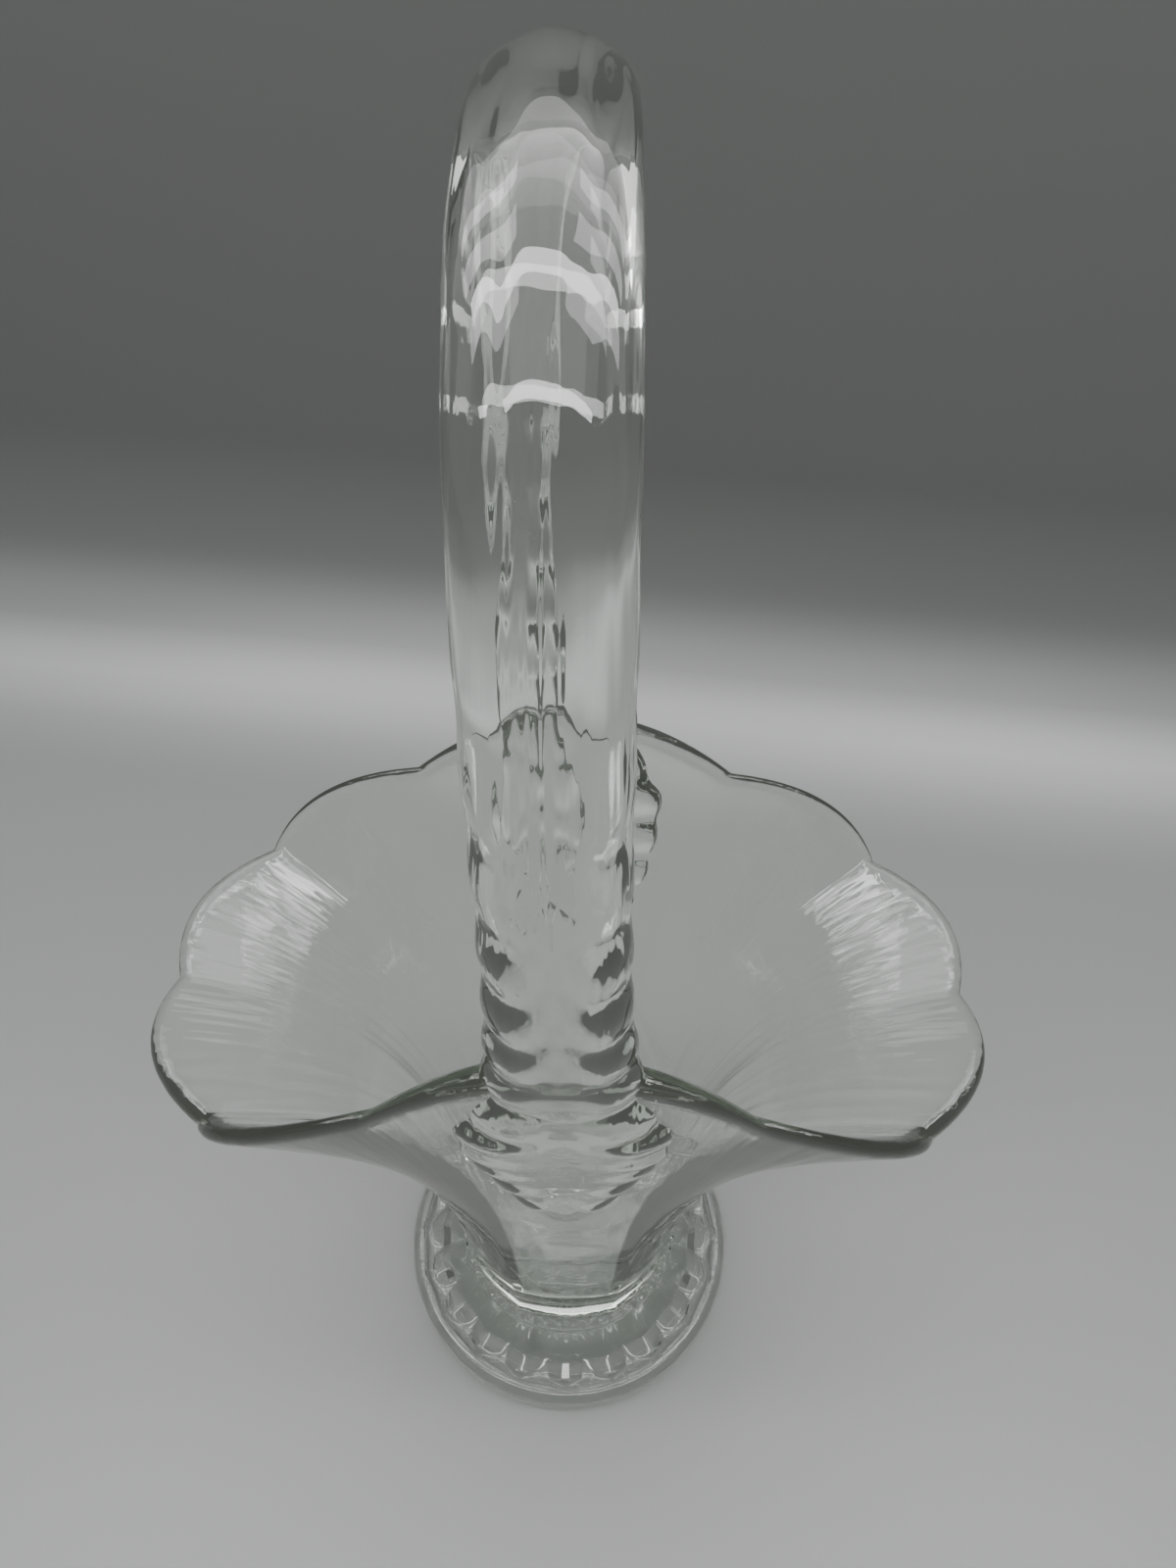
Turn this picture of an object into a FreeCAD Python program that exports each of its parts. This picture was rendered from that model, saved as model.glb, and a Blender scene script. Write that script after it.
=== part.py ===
import FreeCAD, Part
import math
import os
from FreeCAD import Vector

# A pressed clear-glass basket: a round foot with petals, a trumpet bowl of ten
# panels whose rim is flared into scallops, and a tall strap handle that grows
# out of the bowl's two narrow sides and is patterned like an ear of wheat.
# The origin is the centre of the foot's underside. Z is up, the handle stands
# in the YZ plane and the bowl flares furthest along X.

NODE = "glass_basket"

SIZES = {
    # foot
    "foot_radius": 40.0,
    "foot_edge_height": 7.6,
    "foot_edge_round": 2.4,
    "foot_underside_round": 0.8,
    "foot_step_radius": 35.5,
    "foot_step_depth": 0.8,
    "foot_neck_radius": 26.5,
    "foot_neck_height": 12.5,
    "foot_recess_radius": 32.0,
    "foot_recess_depth": 2.2,
    "petal_count": 20,
    "petal_width": 10.2,
    "petal_depth": 2.6,
    "collar_radius": 27.0,
    "collar_thickness": 3.4,
    # bowl wall
    "base_radius": 22.0,
    "base_height": 13.0,
    "floor_height": 17.5,
    "floor_flat_radius": 7.5,
    "floor_corner": 6.0,
    "wall_at_base": 6.0,
    "wall_at_lip": 4.9,
    "handle_panel_angle": 53.0,
    "rim_half_length": 68.6,
    "rim_half_width": 36.8,
    "rim_side_height": 119.5,
    "rim_handle_rise": 28.8,
    "handle_lip_lift": 4.0,
    "handle_lip_pinch": 2.0,
    "lobe_reach": 6.0,
    "lobe_lean": 79.0,
    "flare_at_sides": 75.0,
    "flare_at_handle": 8.5,
    "body_lean": 4.0,
    "body_stiffness": 0.69,
    "flare_stiffness": 0.25,
    # strap handle
    "strap_tip_height": 82.0,
    "strap_rim_height": 149.5,
    "strap_rim_reach": 34.6,
    "arch_start_height": 205.0,
    "arch_half_span": 40.4,
    "arch_crown_height": 260.0,
    "arch_sideways_lean": -1.6,
    "strap_rim_half_width": 12.4,
    "strap_skirt_half_width": 17.0,
    "strap_crown_half_width": 7.9,
    "strap_taper_length": 26.0,
    "strap_crown_dome": 4.5,
    "strap_rim_dome": 5.6,
    "strap_back": 0.9,
    "skirt_relief": 2.4,
    "skirt_sink": 1.3,
    "first_hollow": 12.7,
    "lobe_pitch_low": 7.2,
    "lobe_pitch_high": 17.5,
    "lobe_depth": 2.0,
    "crown_rib": 0.7,
}

# Ratios, powers and counts that shape the curves. They carry no length.
PANELS = 10
PLAN_POWER_X = 1.08
PLAN_POWER_Y = 0.44
RISE_POWER = 4.1
FLARE_POWER = 1.95
PETAL_PLACE = 0.55          # place of a petal's middle on the slope from the step to the neck
PETAL_SPAN = 1.24           # length of a petal's scoop, in lengths of that slope
ROUND_LIP = 2 / 3           # pole height that makes a four-pole curve over the lip round
ROUND_CORNER = 0.6          # the same for the corner between wall and floor
ARCH_POWER = 2.6
SKIRT_WIDEST = 0.78         # place of the widest point between the strap's tip and the rim
SKIRT_LEAVES_WALL = 0.375   # place where the strap starts to turn from the wall to the upright
SKIRT_SWELL = 0.3           # part of the same way in which the strap swells to its relief
SWELL_AT_TIP = 0.15         # how much of that swelling is already there at the tip
RIM_SWELL_FROM = 0.5        # place where it starts to swell again, up to the rim
FIRST_SECTION = 0.05        # place of the first cross-section, just inside the wall
SECTION_POWER = 2.6
EDGE_ROUND = 0.03           # how far the strap's edge poles stand past its face poles
EDGE_BITE = 0.06            # how far the hollows bite into the strap's edges
LOBE_SWEEP = 0.8            # droop of a lobe's line from the middle to the edge, in lobes
LOBE_CURL = 0.45            # extra droop between the two, so that the line curls up at the edge
HOLLOW_PLACE = 0.85         # where across the strap the hollows between lobes are deepest
LOBE_AT_MIDDLE = 0.15       # how much of the hollows' depth is left in the middle of the strap
LOBE_SKEW = 0.1             # makes the hollows narrower than the lobes
LOBES_FADE_FROM = 0.55      # shares of the way to the crown between which the lobes fade
LOBES_FADE_TO = 0.85
FADED_LOBES = 0.2
RIB_HALF_WIDTH = 0.25       # how wide the flat middle rib on the arch is, and its sloping sides
RIB_SIDE = 0.3
ROWS_PER_LOBE = 5
STRAP_BANDS = 16
LEG_POINTS = 40
ARCH_POINTS = 80
LINE_STEP = 1.5             # half of the stretch over which the strap's direction is taken, in mm


doc = FreeCAD.newDocument("GlassBasket")
sheet = doc.addObject("Spreadsheet::Sheet", "Sizes")
for row, (name, value) in enumerate(SIZES.items(), start=1):
    sheet.set("A%d" % row, name)
    sheet.set("B%d" % row, "%g" % value)
    sheet.setAlias("B%d" % row, name)
doc.recompute()


def size(name):
    """One driving size, read back from the sheet."""
    return float(getattr(sheet, name))


def bind(item, **links):
    """Tie properties of an object to cells or expressions of cells."""
    for prop, expression in links.items():
        item.setExpression(prop.replace("__", "."), expression)


def signed_power(value, power):
    """A power that keeps the sign, for plan curves that pass all four quarters."""
    return math.copysign(abs(value) ** power, value)


def polar(angle):
    """The level unit vector at an azimuth, in degrees."""
    return Vector(round(math.cos(math.radians(angle)), 12), round(math.sin(math.radians(angle)), 12), 0)


def smooth(value):
    """A ramp from 0 to 1 with level ends."""
    value = min(max(value, 0.0), 1.0)
    return value * value * (3 - 2 * value)


UP = Vector(0, 0, 1)


# Foot: a turned disc with a sunk underside and a cone up to the bowl, which is
# scooped into a ring of petals before the collar is laid round its top.

disc = doc.addObject("Part::Cylinder", "FootDisc")
bind(disc, Radius="Sizes.foot_radius", Height="Sizes.foot_edge_height")
doc.recompute()

disc_rounded = doc.addObject("Part::Fillet", "FootDiscRounded")
disc_rounded.Base = disc
rounds = []
for index, edge in enumerate(disc.Shape.Edges, start=1):
    if edge.Closed:
        on_top = edge.CenterOfMass.z > size("foot_edge_height") / 2
        radius = size("foot_edge_round") if on_top else size("foot_underside_round")
        rounds.append((index, radius, radius))
disc_rounded.Edges = rounds

shoulder = doc.addObject("Part::Cone", "FootShoulder")
bind(shoulder, Radius1="Sizes.foot_step_radius", Radius2="Sizes.foot_neck_radius",
     Height="Sizes.foot_neck_height - Sizes.foot_edge_height + Sizes.foot_step_depth",
     Placement__Base__z="Sizes.foot_edge_height - Sizes.foot_step_depth")

step = doc.addObject("Part::Cylinder", "FootStep")
bind(step, Radius="Sizes.foot_step_radius", Height="Sizes.foot_edge_height",
     Placement__Base__z="Sizes.foot_edge_height - Sizes.foot_step_depth")

collar = doc.addObject("Part::Torus", "Collar")
bind(collar, Radius1="Sizes.collar_radius - Sizes.collar_thickness / 2", Radius2="Sizes.collar_thickness / 2",
     Placement__Base__z="Sizes.foot_neck_height + Sizes.collar_thickness / 2")

hub = doc.addObject("Part::Cylinder", "FootHub")
bind(hub, Radius="Sizes.collar_radius - Sizes.collar_thickness / 2",
     Height="Sizes.foot_neck_height + Sizes.collar_thickness / 2")

recess = doc.addObject("Part::Cone", "FootRecess")
bind(recess, Radius1="Sizes.foot_recess_radius",
     Radius2="Sizes.foot_recess_radius - Sizes.foot_recess_depth", Height="Sizes.foot_recess_depth")

stepped = doc.addObject("Part::Cut", "FootStepped")
stepped.Base = disc_rounded
stepped.Tool = step
turned = doc.addObject("Part::MultiFuse", "FootTurned")
turned.Shapes = [stepped, shoulder]


def petal_scoop(index):
    """A long scoop that leaves one hollow petal on the foot's sloping top."""
    step_top = size("foot_edge_height") - size("foot_step_depth")
    climb = size("foot_neck_height") - step_top
    run = size("foot_step_radius") - size("foot_neck_radius")
    scoop = doc.addObject("Part::Ellipsoid", "PetalScoop%02d" % index)
    bind(scoop, Radius1="Sizes.petal_depth", Radius3="Sizes.petal_width / 2")
    scoop.Radius2 = math.hypot(run, climb) * PETAL_SPAN / 2
    azimuth = 360.0 / size("petal_count") * (index + 0.5)
    centre = (polar(azimuth) * (size("foot_step_radius") - run * PETAL_PLACE)
              + UP * (step_top + climb * PETAL_PLACE))
    slope = math.degrees(math.atan2(climb, run))
    turn = FreeCAD.Rotation(UP, azimuth).multiply(FreeCAD.Rotation(Vector(0, 1, 0), slope))
    scoop.Placement = FreeCAD.Placement(centre, turn)
    return scoop


petal_tool = doc.addObject("Part::Compound", "PetalScoops")
petal_tool.Links = [petal_scoop(index) for index in range(int(size("petal_count")))]
scooped = doc.addObject("Part::Cut", "FootScooped")
scooped.Base = turned
scooped.Tool = petal_tool
ringed = doc.addObject("Part::MultiFuse", "FootRinged")
ringed.Shapes = [scooped, collar, hub]
foot = doc.addObject("Part::Cut", "Foot")
foot.Base = ringed
foot.Tool = recess
doc.recompute()


# Bowl: ten panels. Each panel is one surface patch between two ridges, curved
# up the wall by four poles and bulged across by three.

def ridge_angles():
    """Azimuths of the ten ridges. The two handle panels are wider than the rest."""
    half = size("handle_panel_angle") / 2
    side = (90 - half) / 2
    front = [0, side, 2 * side, 180 - 2 * side, 180 - side]
    return front + [180 + angle for angle in front]


def rim_point(angle):
    """A point where a ridge meets the middle of the lip."""
    level = polar(angle)
    return Vector(size("rim_half_length") * signed_power(level.x, PLAN_POWER_X),
                  size("rim_half_width") * signed_power(level.y, PLAN_POWER_Y),
                  size("rim_side_height") + size("rim_handle_rise") * abs(level.y) ** RISE_POWER)


def flare_angle(angle):
    """How far the wall leans out at the lip, in degrees from upright."""
    share = abs(polar(angle).y) ** FLARE_POWER
    return size("flare_at_sides") + (size("flare_at_handle") - size("flare_at_sides")) * share


def lean(direction, degrees):
    """The upright turned outwards along a level direction, and the outward normal to it."""
    angle = math.radians(degrees)
    along = direction * math.sin(angle) + UP * math.cos(angle)
    across = direction * math.cos(angle) - UP * math.sin(angle)
    return along, across


def handle_lip(angle):
    """The middle of a handle panel's lip, drawn up and in by the strap."""
    return rim_point(angle) + UP * size("handle_lip_lift") - polar(angle) * size("handle_lip_pinch")


def panel_lip(left, right, middle):
    """The middle of a panel's lip: past its chord, nearly level, as the hot glass drooped."""
    if abs(polar(middle).x) < 1e-6:
        return handle_lip(middle)
    chord = (left + right) * 0.5
    level = Vector(chord.x, chord.y, 0).normalize()
    return chord + lean(level, size("lobe_lean"))[0] * size("lobe_reach")


def wall_profile(angle, rim, base_radius):
    """Poles of the whole section of the wall at one azimuth.

    They run up the outside, over the rounded lip, down the inside and in
    across the rounded floor, as four cubic curves that share their ends.
    """
    out = polar(angle)
    start = out * base_radius + UP * size("base_height")
    reach = (rim - start).Length
    level = Vector(rim.x - start.x, rim.y - start.y, 0).normalize()
    rise, rise_normal = lean(out, size("body_lean"))
    tilt, tilt_normal = lean(level, flare_angle(angle))
    half_base = size("wall_at_base") / 2
    half_lip = size("wall_at_lip") / 2
    half_middle = (half_base + half_lip) / 2
    lower = start + rise * (size("body_stiffness") * reach)
    upper = rim - tilt * (size("flare_stiffness") * reach)
    outside = [start + rise_normal * half_base, lower + rise_normal * half_middle,
               upper + tilt_normal * half_middle, rim + tilt_normal * half_lip]
    corner = start - rise_normal * half_base + rise * (size("floor_height") + size("floor_corner") - start.z)
    inside = [rim - tilt_normal * half_lip, upper - tilt_normal * half_middle,
              lower - rise_normal * half_middle, corner]
    crown = tilt * (size("wall_at_lip") * ROUND_LIP)
    lip = [outside[-1], outside[-1] + crown, inside[0] + crown, inside[0]]
    floor_rim = out * size("floor_flat_radius") + UP * size("floor_height")
    floor_reach = Vector(corner.x, corner.y, 0).Length - size("floor_flat_radius")
    floor = [corner, corner - rise * (size("floor_corner") * ROUND_CORNER),
             floor_rim + out * (floor_reach * ROUND_CORNER), floor_rim]
    return outside, lip, inside, floor


def panel_profiles():
    """Wall sections, two for each panel: its first ridge, then its middle."""
    ridges = ridge_angles()
    rims = [rim_point(angle) for angle in ridges]
    profiles = []
    for i, angle in enumerate(ridges):
        after = ridges[(i + 1) % PANELS] + (360 if i == PANELS - 1 else 0)
        middle = (angle + after) / 2
        flat_side = (1 + math.cos(math.radians((after - angle) / 2))) / 2
        lip = panel_lip(rims[i], rims[(i + 1) % PANELS], middle)
        profiles.append(wall_profile(angle, rims[i], size("base_radius")))
        profiles.append(wall_profile(middle, lip, size("base_radius") * flat_side))
    return profiles


def middle_pole(left, middle, right):
    """The pole that makes a three-pole curve pass through the middle point."""
    return middle * 2 - (left + right) * 0.5


def patch(left, middle, right):
    """A surface whose section is a cubic curve and which bulges across to the middle section."""
    poles = [left, [middle_pole(a, m, b) for a, m, b in zip(left, middle, right)], right]
    surface = Part.BSplineSurface()
    surface.buildFromPolesMultsKnots(poles, [3, 3], [4, 4], [0, 1], [0, 1], False, False, 2, 3)
    return surface.toShape()


def bowl_solid():
    """The wall's forty patches and the two flat faces that close it below."""
    profiles = panel_profiles()
    profiles.append(profiles[0])
    panels = [profiles[2 * i:2 * i + 3] for i in range(PANELS)]
    stretches = range(len(profiles[0]))
    faces = [patch(*[side[stretch] for side in panel]) for panel in panels for stretch in stretches]

    def flat_face(stretch, end):
        edges = []
        for panel in panels:
            left, middle, right = (side[stretch][end] for side in panel)
            curve = Part.BezierCurve()
            curve.setPoles([left, middle_pole(left, middle, right), right])
            edges.append(curve.toShape())
        return Part.Face(Part.Wire(edges))

    shell = Part.makeShell(faces + [flat_face(0, 0), flat_face(-1, -1)])
    shell.sewShape()
    return Part.makeSolid(shell)


bowl = doc.addObject("Part::Feature", "Bowl")
bowl.Shape = bowl_solid()


# Strap handle: one closed surface drawn over cross-sections that follow the
# front of the bowl up, over the arch and down its back. Its face is patterned
# by lobes that sweep down and out from the middle, like an ear of wheat.

SECTION_FACE = (-0.97, -0.82, -0.62, -0.42, -0.21, 0.0, 0.21, 0.42, 0.62, 0.82, 0.97)
SECTION_BACK = (0.66, 0.0, -0.66)
FRONT_SECTION = wall_profile(270, handle_lip(270), size("base_radius"))[0]


def cubic(poles, share):
    """A point of a cubic curve with four poles."""
    rest = 1 - share
    return (poles[0] * rest ** 3 + poles[1] * (3 * share * rest ** 2)
            + poles[2] * (3 * share ** 2 * rest) + poles[3] * share ** 3)


def wall_reach(height):
    """How far the outside of the front handle panel stands from the axis at a height."""
    low, high = 0.0, 1.0
    for _ in range(30):
        middle = (low + high) / 2
        if cubic(FRONT_SECTION, middle).z < height:
            low = middle
        else:
            high = middle
    return -cubic(FRONT_SECTION, low).y


def half_line():
    """Half of the strap's edge line, from its tip on the bowl to the crown, as close points."""
    tip, rim, arch = size("strap_tip_height"), size("strap_rim_height"), size("arch_start_height")
    crown, span, rim_reach = size("arch_crown_height"), size("arch_half_span"), size("strap_rim_reach")
    highest = FRONT_SECTION[-1].z
    points = []
    for i in range(LEG_POINTS):
        share = i / LEG_POINTS
        height = tip + (rim - tip) * share
        sunk = wall_reach(min(height, highest)) - size("skirt_sink")
        leaving = smooth((share - SKIRT_LEAVES_WALL) / (1 - SKIRT_LEAVES_WALL))
        points.append(Vector(0, -(sunk + (rim_reach - sunk) * leaving), height))
    for i in range(LEG_POINTS):
        share = i / LEG_POINTS
        spread = math.sin(math.pi / 2 * share)
        points.append(Vector(0, -(rim_reach + (span - rim_reach) * spread), rim + (arch - rim) * share))
    for i in range(ARCH_POINTS + 1):
        turn = math.pi / 2 * i / ARCH_POINTS
        points.append(Vector(0, -span * max(math.cos(turn), 0) ** (2 / ARCH_POWER),
                             arch + (crown - arch) * math.sin(turn) ** (2 / ARCH_POWER)))
    for point in points:
        point.x = size("arch_sideways_lean") * max(point.z - rim, 0) / (crown - rim)
    return points


class Path:
    """The whole edge line, both legs, measured by length from the front tip."""

    def __init__(self):
        half = half_line()
        self.points = half + [Vector(point.x, -point.y, point.z) for point in reversed(half[:-1])]
        self.runs = [0.0]
        for before, after in zip(self.points, self.points[1:]):
            self.runs.append(self.runs[-1] + (after - before).Length)
        self.length = self.runs[-1]

    def at(self, run):
        """The point at a length along the line."""
        run = min(max(run, 0.0), self.length)
        index = 0
        while index < len(self.runs) - 2 and self.runs[index + 1] < run:
            index += 1
        step = self.runs[index + 1] - self.runs[index]
        share = (run - self.runs[index]) / step if step else 0
        return self.points[index] + (self.points[index + 1] - self.points[index]) * share

    def frame(self, run):
        """The point at a length and the way the strap's face looks there."""
        along = (self.at(run + LINE_STEP) - self.at(run - LINE_STEP)).normalize()
        return self.at(run), Vector(1, 0, 0).cross(along).normalize()


class Lobes:
    """The strap's pattern: hollows between lobes whose pitch grows along the strap."""

    def __init__(self, half):
        self.half = half
        self.low = size("lobe_pitch_low")
        self.growth = (size("lobe_pitch_high") - self.low) / half
        self.shift = self.droop(HOLLOW_PLACE) + self.count(size("first_hollow"))

    def count(self, run):
        """How many lobes lie between the tip and a length along the strap."""
        if not self.growth:
            return run / self.low
        return math.log(1 + self.growth * run / self.low) / self.growth

    def run(self, count):
        """The length along the strap that a count of lobes reaches."""
        if not self.growth:
            return count * self.low
        return (math.exp(count * self.growth) - 1) * self.low / self.growth

    def droop(self, side):
        """How far a lobe's line hangs below its middle, in lobes, at a share of the half width."""
        return LOBE_SWEEP * side + LOBE_CURL * math.sin(math.pi * side)

    def faded(self, run):
        """How far the lobes have faded at a length along the strap, from 0 to 1 at the crown."""
        return smooth((run / self.half - LOBES_FADE_FROM) / (LOBES_FADE_TO - LOBES_FADE_FROM))

    def height(self, run, side):
        """1 on a lobe and 0 in a hollow."""
        turns = 2 * math.pi * (self.count(run) + self.droop(side) - self.shift)
        wave = 0.5 - 0.5 * math.cos(turns + 2 * math.pi * LOBE_SKEW * math.sin(turns))
        return 1 - (1 - wave) * (1 - (1 - FADED_LOBES) * self.faded(run))


def half_width(run, rim_run):
    """Half of the strap's width: a rounded skirt on the bowl, a waist at the rim, a slow taper."""
    skirt, rim = size("strap_skirt_half_width"), size("strap_rim_half_width")
    crown = size("strap_crown_half_width")
    widest = rim_run * SKIRT_WIDEST
    if run < widest:
        return skirt * (1 - (1 - run / widest) ** 2)
    if run < rim_run:
        return skirt + (rim - skirt) * smooth((run - widest) / (rim_run - widest))
    return crown + (rim - crown) * math.exp(-(run - rim_run) / size("strap_taper_length"))


def swell(share):
    """How far the strap's relief has grown out of the wall, at a share of the way from tip to rim."""
    return smooth(SWELL_AT_TIP + share / SKIRT_SWELL)


def dome(run, rim_run, half):
    """Height of the strap's face above its edges, without the lobes."""
    skirt = size("skirt_sink") + size("skirt_relief")
    rim, crown = size("strap_rim_dome"), size("strap_crown_dome")
    if run < rim_run:
        share = run / rim_run
        to_rim = smooth((share - RIM_SWELL_FROM) / (1 - RIM_SWELL_FROM))
        return skirt * swell(share) + (rim - skirt) * to_rim
    return rim + (crown - rim) * smooth((run - rim_run) / (half - rim_run))


def strap_section(run, path, lobes, rim_run):
    """Poles of one closed cross-section: across the face, round the edges and back."""
    short = min(run, path.length - run)
    centre, face = path.frame(run)
    width = half_width(short, rim_run)
    edge = width * (1 - EDGE_BITE * (1 - lobes.height(short, 1.0)))
    rib = size("crown_rib") * lobes.faded(short)
    depth = size("lobe_depth") * swell(short / rim_run)
    rounded = Vector(edge * (1 + EDGE_ROUND), 0, 0)
    poles = []
    for across in SECTION_FACE:
        side = abs(across)
        bulge = (1 - side ** SECTION_POWER) ** 0.5
        share = LOBE_AT_MIDDLE + (1 - LOBE_AT_MIDDLE) * side ** 2
        hollow = depth * share * (1 - lobes.height(short, side)) * bulge ** 0.5
        hollow += rib * bulge * smooth((side - RIB_HALF_WIDTH) / RIB_SIDE)
        rise = dome(short, rim_run, path.length / 2) * bulge - hollow
        poles.append(centre + Vector(edge * across, 0, 0) + face * rise)
    back = [centre + Vector(width * across, 0, 0) - face * size("strap_back") for across in SECTION_BACK]
    return poles + [centre + rounded] + back + [centre - rounded]


def strap_solid():
    """The surface over all sections, in bands, closed by small flat ends that lie in the bowl's wall."""
    path = Path()
    half = path.length / 2
    rim_run = size("strap_rim_height") - size("strap_tip_height")
    lobes = Lobes(half)

    # Sections stand at equal shares of a lobe, so they are closer where lobes are short.
    first, last = lobes.count(rim_run * FIRST_SECTION), lobes.count(half)
    steps = int((last - first) * ROWS_PER_LOBE)
    runs = [lobes.run(first + (last - first) * i / steps) for i in range(steps)]
    runs += [half] + [path.length - run for run in reversed(runs)]
    sections = [strap_section(run, path, lobes, rim_run) for run in runs]
    count, around = len(sections), len(sections[0])
    surface = Part.BSplineSurface()
    surface.buildFromPolesMultsKnots(sections, [4] + [1] * (count - 4) + [4], [1] * (around + 1),
                                     list(range(count - 2)), list(range(around + 1)), False, True, 3, 3)
    cuts = [round((count - 3) * i / STRAP_BANDS) for i in range(STRAP_BANDS + 1)]
    bands = [surface.toShape(cuts[i], cuts[i + 1], 0, around) for i in range(STRAP_BANDS)]
    ends = [Part.Face(Part.Wire(surface.uIso(knot).toShape())) for knot in (cuts[0], cuts[-1])]
    shell = Part.makeShell(bands + ends)
    shell.sewShape()
    return Part.makeSolid(shell)


strap = doc.addObject("Part::Feature", "Strap")
strap.Shape = strap_solid()

basket = doc.addObject("Part::MultiFuse", "GlassBasket")
basket.Shapes = [bowl, foot, strap]
basket.Refine = False
basket.Label = NODE
doc.recompute()

for item in doc.Objects:
    if "Invalid" in item.State or "Error" in item.State:
        raise RuntimeError("%s failed: %s" % (item.Name, item.State))
for item in (foot, bowl, strap, basket):
    shape = item.Shape
    if shape.isNull() or not shape.isValid() or len(shape.Solids) != 1:
        raise RuntimeError("%s is not one valid solid" % item.Name)
    print(item.Name, "volume %.1f" % shape.Volume, "faces", len(shape.Faces), shape.optimalBoundingBox(False))
os.makedirs("parts", exist_ok=True)
basket.Shape.exportStep("parts/%s.step" % NODE)
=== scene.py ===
import bpy
import math
import numpy as np
from mathutils import Matrix


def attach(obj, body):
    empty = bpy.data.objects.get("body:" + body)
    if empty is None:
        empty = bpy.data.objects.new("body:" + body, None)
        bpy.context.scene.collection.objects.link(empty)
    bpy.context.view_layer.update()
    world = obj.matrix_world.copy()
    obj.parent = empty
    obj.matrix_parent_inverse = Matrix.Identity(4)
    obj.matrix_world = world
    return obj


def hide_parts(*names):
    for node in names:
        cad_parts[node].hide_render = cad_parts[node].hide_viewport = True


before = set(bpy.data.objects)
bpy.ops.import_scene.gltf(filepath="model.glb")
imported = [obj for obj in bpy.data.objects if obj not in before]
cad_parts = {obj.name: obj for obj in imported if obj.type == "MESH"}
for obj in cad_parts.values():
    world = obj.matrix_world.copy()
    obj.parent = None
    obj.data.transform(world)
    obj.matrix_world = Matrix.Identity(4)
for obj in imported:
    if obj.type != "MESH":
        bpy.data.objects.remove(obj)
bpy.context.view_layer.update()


# Bowl. A trumpet of clear glass, pressed in ten gently crowned panels between soft ridges.
# While it was hot its two long sides were flared out, so that the rim dips there and
# climbs to the handle, and each panel ends in a shallow scallop with a rounded lip.
MM = 0.001
PANELS = 10
SIDE_COLUMNS, HANDLE_COLUMNS = 36, 60
HANDLE_PANEL = math.radians(53.0)
BASE_RADIUS, BASE_HEIGHT = 22.0, 13.0
FLOOR_HEIGHT, FLOOR_FLAT, FLOOR_CORNER = 17.5, 7.5, 6.0
WALL_AT_BASE, WALL_AT_LIP = 6.0, 4.9
RIM_HALF_LENGTH, RIM_HALF_WIDTH = 68.6, 36.8
RIM_SIDE_HEIGHT, RIM_HANDLE_RISE = 119.5, 28.8
HANDLE_LIP_LIFT, HANDLE_LIP_PINCH = 4.0, 2.0
SCALLOP_REACH, SCALLOP_LEAN = 6.0, math.radians(79.0)
FLARE_AT_SIDES, FLARE_AT_HANDLE = math.radians(75.0), math.radians(8.5)
BODY_LEAN, BODY_STIFFNESS, FLARE_STIFFNESS = math.radians(4.0), 0.69, 0.25
PLAN_POWER_X, PLAN_POWER_Y, RISE_POWER, FLARE_POWER = 1.08, 0.44, 4.1, 1.95
ROUND_LIP, ROUND_CORNER = 2 / 3, 0.6
OUTSIDE_FROM = 0.0134       # the share of the outside's curve where the collar's top meets it
OUTSIDE_ROWS, LIP_ROWS, INSIDE_ROWS, FLOOR_ROWS = 46, 11, 46, 9
UP = np.array([0.0, 0.0, 1.0])


def level(angle):
    """Level unit vectors (cos, sin, 0) at azimuths in radians."""
    return np.stack([np.cos(angle), np.sin(angle), np.zeros_like(angle)], axis=-1)


def rim_points(angle):
    """Middle of the lip at a ridge: a superellipse in plan, whose height grows as a power of |sin|."""
    x, y, _ = level(angle).T
    return np.stack([RIM_HALF_LENGTH * np.sign(x) * np.abs(x) ** PLAN_POWER_X,
                     RIM_HALF_WIDTH * np.sign(y) * np.abs(y) ** PLAN_POWER_Y,
                     RIM_SIDE_HEIGHT + RIM_HANDLE_RISE * np.abs(y) ** RISE_POWER], axis=-1)


def flare(angle):
    """Lean of the wall at the lip: wide at the long sides, nearly upright under the handle."""
    return FLARE_AT_SIDES + (FLARE_AT_HANDLE - FLARE_AT_SIDES) * np.abs(np.sin(angle)) ** FLARE_POWER


def lean(direction, angle):
    """The upright turned by an angle towards level directions, and the outward normal to it."""
    c, s = np.cos(angle)[..., None], np.sin(angle)[..., None]
    return direction * s + UP * c, direction * c - UP * s


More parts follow.
